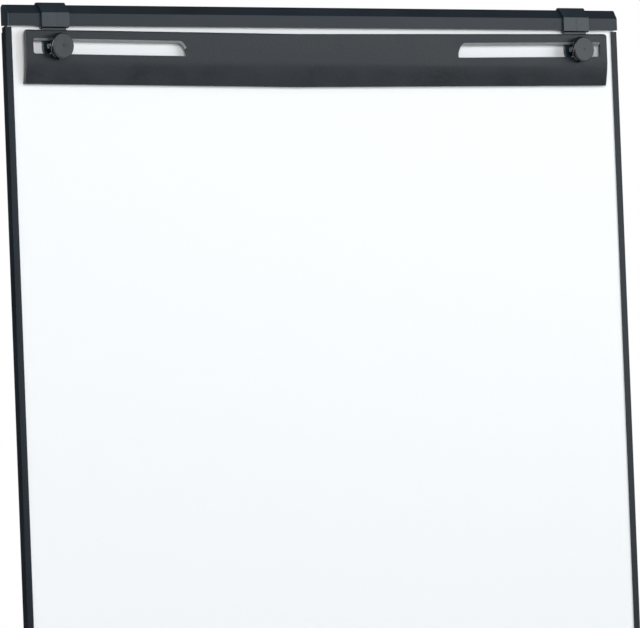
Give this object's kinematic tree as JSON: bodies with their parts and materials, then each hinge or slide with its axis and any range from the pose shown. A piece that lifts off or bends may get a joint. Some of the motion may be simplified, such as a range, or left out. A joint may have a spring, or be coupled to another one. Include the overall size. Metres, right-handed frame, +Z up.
{
  "type": "flipchart easel",
  "caption": "Tripod flipchart easel: leaning white steel board, sliding clips and knobs that clamp a slotted pad bar, pen tray and telescopic legs.",
  "frame": {"origin": "middle of the easel's footprint box, on the floor", "axes": "+X to the right as the reader faces the board, +Y to the rear where the third leg stands, +Z up; the board leans back by 4 degrees"},
  "size_m": [0.909, 0.8114, 1.8497],
  "materials": {
    "white_lacquered_steel": "smooth white lacquer, semi-gloss",
    "hardboard_core": "raw hardboard",
    "grey_backing": "matt grey lacquer",
    "navy_profile": "near-black blue lacquer, satin",
    "anthracite_rail": "anthracite lacquer, satin",
    "anthracite_plastic": "fine-textured anthracite moulding",
    "black_plastic": "fine-textured black moulding",
    "anodised_aluminium": "satin anodised",
    "zinc_plated_steel": "bright zinc plating",
    "rubber": "matt black rubber"
  },
  "bodies": {
    "easel_frame": {"bottom_profile": "navy_profile", "bracket_screw_left_inner": "zinc_plated_steel", "bracket_screw_left_outer": "zinc_plated_steel", "bracket_screw_right_inner": "zinc_plated_steel", "bracket_screw_right_outer": "zinc_plated_steel", "core_panel": "hardboard_core", "front_sheet": "white_lacquered_steel", "head_screw_1": "zinc_plated_steel", "head_screw_2": "zinc_plated_steel", "head_screw_3": "zinc_plated_steel", "head_screw_4": "zinc_plated_steel", "hinge_bolt": "zinc_plated_steel", "hinge_nut": "zinc_plated_steel", "leg_bracket_left": "black_plastic", "leg_bracket_right": "black_plastic", "leg_collar_left": "black_plastic", "leg_collar_right": "black_plastic", "outer_leg_left": "anodised_aluminium", "outer_leg_right": "anodised_aluminium", "pen_tray": "anthracite_rail", "rail_end_cap_left": "anthracite_plastic", "rail_end_cap_right": "anthracite_plastic", "rear_sheet": "grey_backing", "side_profile_left": "navy_profile", "side_profile_right": "navy_profile", "top_rail": "anthracite_rail", "tray_end_cap_left": "black_plastic", "tray_end_cap_right": "black_plastic", "tray_screw_left": "zinc_plated_steel", "tray_screw_right": "zinc_plated_steel", "tripod_head": "black_plastic"},
    "clip_left": {"clip_left": "anthracite_plastic", "stud_left": "zinc_plated_steel"},
    "clip_right": {"clip_right": "anthracite_plastic", "stud_right": "zinc_plated_steel"},
    "washer_left": {"knob_washer_left": "zinc_plated_steel"},
    "washer_right": {"knob_washer_right": "zinc_plated_steel"},
    "clamp_knob_left": {"clamp_knob_left": "anthracite_plastic"},
    "clamp_knob_right": {"clamp_knob_right": "anthracite_plastic"},
    "clamp_bar": {"clamp_bar": "anthracite_plastic"},
    "rear_leg": {"rear_leg_knuckle": "black_plastic", "outer_leg_rear": "anodised_aluminium", "leg_collar_rear": "black_plastic"},
    "leg_knob_left": {"leg_knob_left": "black_plastic"},
    "leg_knob_right": {"leg_knob_right": "black_plastic"},
    "leg_knob_rear": {"leg_knob_rear": "black_plastic"},
    "inner_leg_left": {"inner_leg_left": "anodised_aluminium", "glide_bush_left": "black_plastic", "foot_left": "rubber"},
    "inner_leg_right": {"inner_leg_right": "anodised_aluminium", "glide_bush_right": "black_plastic", "foot_right": "rubber"},
    "inner_leg_rear": {"inner_leg_rear": "anodised_aluminium", "glide_bush_rear": "black_plastic", "foot_rear": "rubber"}
  },
  "joints": [
    {"name": "clip_slide_left", "type": "slide", "parent": "easel_frame", "child": "clip_left", "axis": [1, 0, 0], "range_m": [-0.022, 0.13]},
    {"name": "knob_travel_left", "type": "slide", "parent": "clip_left", "child": "washer_left", "axis": [0, -0.9976, 0.0698], "range_m": [0, 0.004]},
    {"name": "knob_turn_left", "type": "hinge", "parent": "washer_left", "child": "clamp_knob_left", "pos_m": [-0.2982, -0.28522, 1.80806], "axis": [0, -0.9976, 0.0698], "range_deg": [0, 1440]},
    {"name": "clip_slide_right", "type": "slide", "parent": "easel_frame", "child": "clip_right", "axis": [1, 0, 0], "range_m": [-0.13, 0.022]},
    {"name": "knob_travel_right", "type": "slide", "parent": "clip_right", "child": "washer_right", "axis": [0, -0.9976, 0.0698], "range_m": [0, 0.004]},
    {"name": "knob_turn_right", "type": "hinge", "parent": "washer_right", "child": "clamp_knob_right", "pos_m": [0.2982, -0.28522, 1.80806], "axis": [0, -0.9976, 0.0698], "range_deg": [0, 1440]},
    {"name": "clamp_bar_opening", "type": "slide", "parent": "easel_frame", "child": "clamp_bar", "axis": [0, -0.9976, 0.0698], "range_m": [0, 0.004]},
    {"name": "rear_leg_fold", "type": "hinge", "parent": "easel_frame", "child": "rear_leg", "pos_m": [0, -0.24718, 1.74987], "axis": [-1, 0, 0], "range_deg": [0, 24]},
    {"name": "leg_extension_left", "type": "slide", "parent": "easel_frame", "child": "inner_leg_left", "axis": [-0.225, -0.068, -0.972], "range_m": [-0.6, 0.19]},
    {"name": "leg_knob_turn_left", "type": "hinge", "parent": "easel_frame", "child": "leg_knob_left", "pos_m": [-0.29077, -0.34277, 0.64097], "axis": [-0.9744, 0.0157, 0.2244], "range_deg": [0, 180]},
    {"name": "leg_extension_right", "type": "slide", "parent": "easel_frame", "child": "inner_leg_right", "axis": [0.225, -0.068, -0.972], "range_m": [-0.6, 0.19]},
    {"name": "leg_knob_turn_right", "type": "hinge", "parent": "easel_frame", "child": "leg_knob_right", "pos_m": [0.29077, -0.34277, 0.64097], "axis": [0.9744, 0.0157, 0.2244], "range_deg": [0, 180]},
    {"name": "leg_extension_rear", "type": "slide", "parent": "rear_leg", "child": "inner_leg_rear", "axis": [0, 0.342, -0.9397], "range_m": [-0.65, 0.19]},
    {"name": "leg_knob_turn_rear", "type": "hinge", "parent": "rear_leg", "child": "leg_knob_rear", "pos_m": [0, 0.12117, 0.73782], "axis": [0, 0.9397, 0.342], "range_deg": [0, 180]}
  ],
  "couplings": [
    {"joint": "knob_travel_left", "follows": "clamp_bar_opening", "ratio": 1},
    {"joint": "knob_travel_right", "follows": "clamp_bar_opening", "ratio": 1},
    {"joint": "knob_turn_left", "follows": "clamp_bar_opening", "rad_per_m": 6283.2},
    {"joint": "knob_turn_right", "follows": "clamp_bar_opening", "rad_per_m": 6283.2}
  ]
}
